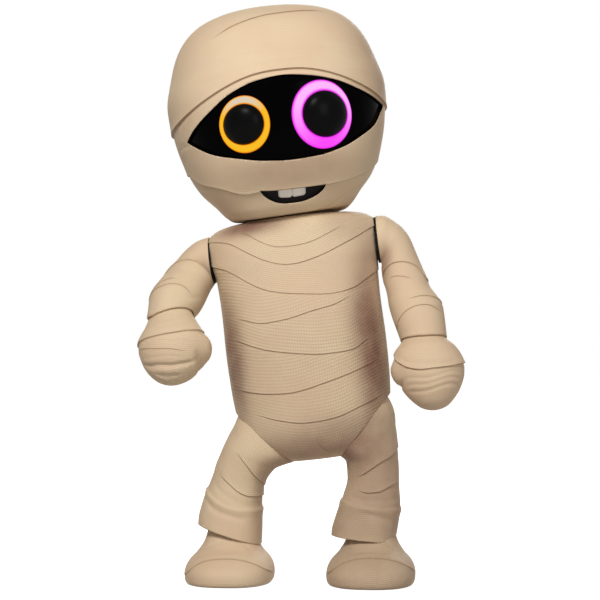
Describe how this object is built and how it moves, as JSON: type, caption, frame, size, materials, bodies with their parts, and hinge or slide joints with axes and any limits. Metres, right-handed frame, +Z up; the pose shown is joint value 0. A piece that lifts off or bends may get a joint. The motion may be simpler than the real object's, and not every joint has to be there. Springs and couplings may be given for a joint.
{
  "type": "animatronic mummy",
  "caption": "Standing battery animatronic mummy: large bandaged head with lit ring eyes, swaying torso, swinging arms with mitten fists, bandaged legs and shoes.",
  "frame": {"origin": "centre of the bounding box, on the floor under the shoes", "axes": "+Z up from floor to crown; -Y is the way the figure faces; its own left hand is on +X"},
  "size_m": [0.5038, 0.3271, 0.8987],
  "materials": {
    "skin": "soft satin vinyl, moulded as wrapped gauze",
    "gloss_black": "polished",
    "matt_black": "matt",
    "amber_lamp": "diffusing lamp ring",
    "violet_lamp": "diffusing lamp ring",
    "tooth": "satin",
    "steel": "zinc plated",
    "grey_plastic": "moulded",
    "white_acetal": "self-lubricating gear plastic",
    "motor_can": "plated",
    "board": "solder mask",
    "bronze": "sintered bearing",
    "rubber": "matt",
    "sole_vinyl": "matt vinyl, darker than the skin"
  },
  "bodies": {
    "torso": {"arm_motor": "motor_can", "battery_box": "matt_black", "chassis": "grey_plastic", "control_board": "board", "head_motor": "motor_can", "hip_motor": "motor_can", "left_hip_pin": "steel", "left_shoulder_bush": "bronze", "neck_bearing": "bronze", "right_hip_pin": "steel", "right_shoulder_bush": "bronze", "speaker": "grey_plastic", "switch_housing": "matt_black", "torso_back_shell": "skin", "torso_front_shell": "skin", "torso_screw_1": "steel", "torso_screw_2": "steel", "torso_screw_3": "steel", "torso_screw_4": "steel"},
    "battery_door": {"battery_door": "skin", "battery_door_screw": "steel"},
    "power_switch": {"power_switch_knob": "rubber"},
    "head": {"head_front_shell": "skin", "head_back_shell": "skin", "eye_visor": "gloss_black", "amber_eye_ring": "amber_lamp", "violet_eye_ring": "violet_lamp", "amber_pupil": "gloss_black", "violet_pupil": "gloss_black", "eye_lamp_board": "board", "mouth_plate": "matt_black", "front_teeth": "tooth", "head_bracket": "grey_plastic", "neck_post": "white_acetal", "head_screw_1": "steel", "head_screw_2": "steel"},
    "head_pinion": {"head_pinion": "white_acetal"},
    "right_arm": {"right_arm_shell": "skin", "right_fist": "skin", "right_shoulder_disc": "matt_black", "right_shoulder_shaft": "white_acetal"},
    "left_arm": {"left_arm_shell": "skin", "left_fist": "skin", "left_shoulder_disc": "matt_black", "left_shoulder_shaft": "white_acetal"},
    "arm_drive_pinion": {"arm_drive_pinion": "white_acetal"},
    "arm_idler_gear": {"arm_idler_gear": "white_acetal"},
    "right_leg": {"right_leg_shell": "skin", "right_leg_link": "grey_plastic"},
    "left_leg": {"left_leg_shell": "skin", "left_leg_link": "grey_plastic"},
    "right_foot": {"right_shoe": "skin", "right_sole": "sole_vinyl", "right_ankle_pin": "steel"},
    "left_foot": {"left_shoe": "skin", "left_sole": "sole_vinyl", "left_ankle_pin": "steel"},
    "hip_drive_gear": {"hip_drive_gear": "white_acetal"}
  },
  "joints": [
    {"name": "battery_door_lift", "type": "slide", "parent": "torso", "child": "battery_door", "axis": [0, 1, 0], "range_m": [0, 0.035]},
    {"name": "power_switch_slide", "type": "slide", "parent": "torso", "child": "power_switch", "axis": [-0.1219, 0, 0.9925], "range_m": [0, 0.008]},
    {"name": "head_turn", "type": "hinge", "parent": "torso", "child": "head", "pos_m": [-0.02075, -0.00141, 0.56572], "axis": [-0.1219, 0, 0.9925], "range_deg": [-45, 25]},
    {"name": "head_pinion_spin", "type": "hinge", "parent": "torso", "child": "head_pinion", "pos_m": [-0.02075, 0.03859, 0.56572], "axis": [-0.1219, 0, 0.9925], "range_deg": [-58.5, 105.5]},
    {"name": "right_arm_swing", "type": "hinge", "parent": "torso", "child": "right_arm", "pos_m": [-0.14269, -0.00141, 0.50037], "axis": [0.9925, 0, 0.1219], "range_deg": [-29, 11]},
    {"name": "left_arm_swing", "type": "hinge", "parent": "torso", "child": "left_arm", "pos_m": [0.11338, -0.00141, 0.53181], "axis": [0.9925, 0, 0.1219], "range_deg": [-11, 29]},
    {"name": "arm_drive_spin", "type": "hinge", "parent": "torso", "child": "arm_drive_pinion", "pos_m": [-0.01117, 0.00759, 0.48769], "axis": [0.9925, 0, 0.1219], "range_deg": [-25.8, 67.8]},
    {"name": "arm_idler_spin", "type": "hinge", "parent": "torso", "child": "arm_idler_gear", "pos_m": [-0.01117, -0.01041, 0.48769], "axis": [0.9925, 0, 0.1219], "range_deg": [-67.8, 25.8]},
    {"name": "hip_sway", "type": "hinge", "parent": "torso", "child": "right_leg", "pos_m": [-0.03549, -0.00141, 0.23445], "axis": [0, 1, 0], "range_deg": [-27.7, 0]},
    {"name": "left_hip_sway", "type": "hinge", "parent": "torso", "child": "left_leg", "pos_m": [0.07369, -0.00141, 0.24786], "axis": [0, 1, 0], "range_deg": [-27.8, 0.1]},
    {"name": "right_ankle_turn", "type": "hinge", "parent": "right_leg", "child": "right_foot", "pos_m": [-0.1138, -0.00141, 0.0526], "axis": [0, 1, 0], "range_deg": [-0.1, 13.8]},
    {"name": "left_ankle_turn", "type": "hinge", "parent": "left_leg", "child": "left_foot", "pos_m": [0.10653, -0.00141, 0.0526], "axis": [0, 1, 0], "range_deg": [-0.1, 13.8]},
    {"name": "hip_drive_spin", "type": "hinge", "parent": "torso", "child": "hip_drive_gear", "pos_m": [0.0191, -0.00141, 0.24116], "axis": [0, 1, 0], "range_deg": [-0.2, 74]}
  ],
  "couplings": [
    {"joint": "head_pinion_spin", "follows": "head_turn", "ratio": -2.3333},
    {"joint": "left_arm_swing", "follows": "right_arm_swing", "ratio": -1},
    {"joint": "arm_drive_spin", "follows": "right_arm_swing", "ratio": -2.3333},
    {"joint": "arm_idler_spin", "follows": "right_arm_swing", "ratio": 2.3333},
    {"joint": "left_hip_sway", "follows": "hip_sway", "ratio": 1},
    {"joint": "right_ankle_turn", "follows": "hip_sway", "ratio": -0.4946},
    {"joint": "left_ankle_turn", "follows": "hip_sway", "ratio": -0.4946},
    {"joint": "hip_drive_spin", "follows": "hip_sway", "ratio": -2.6667}
  ]
}
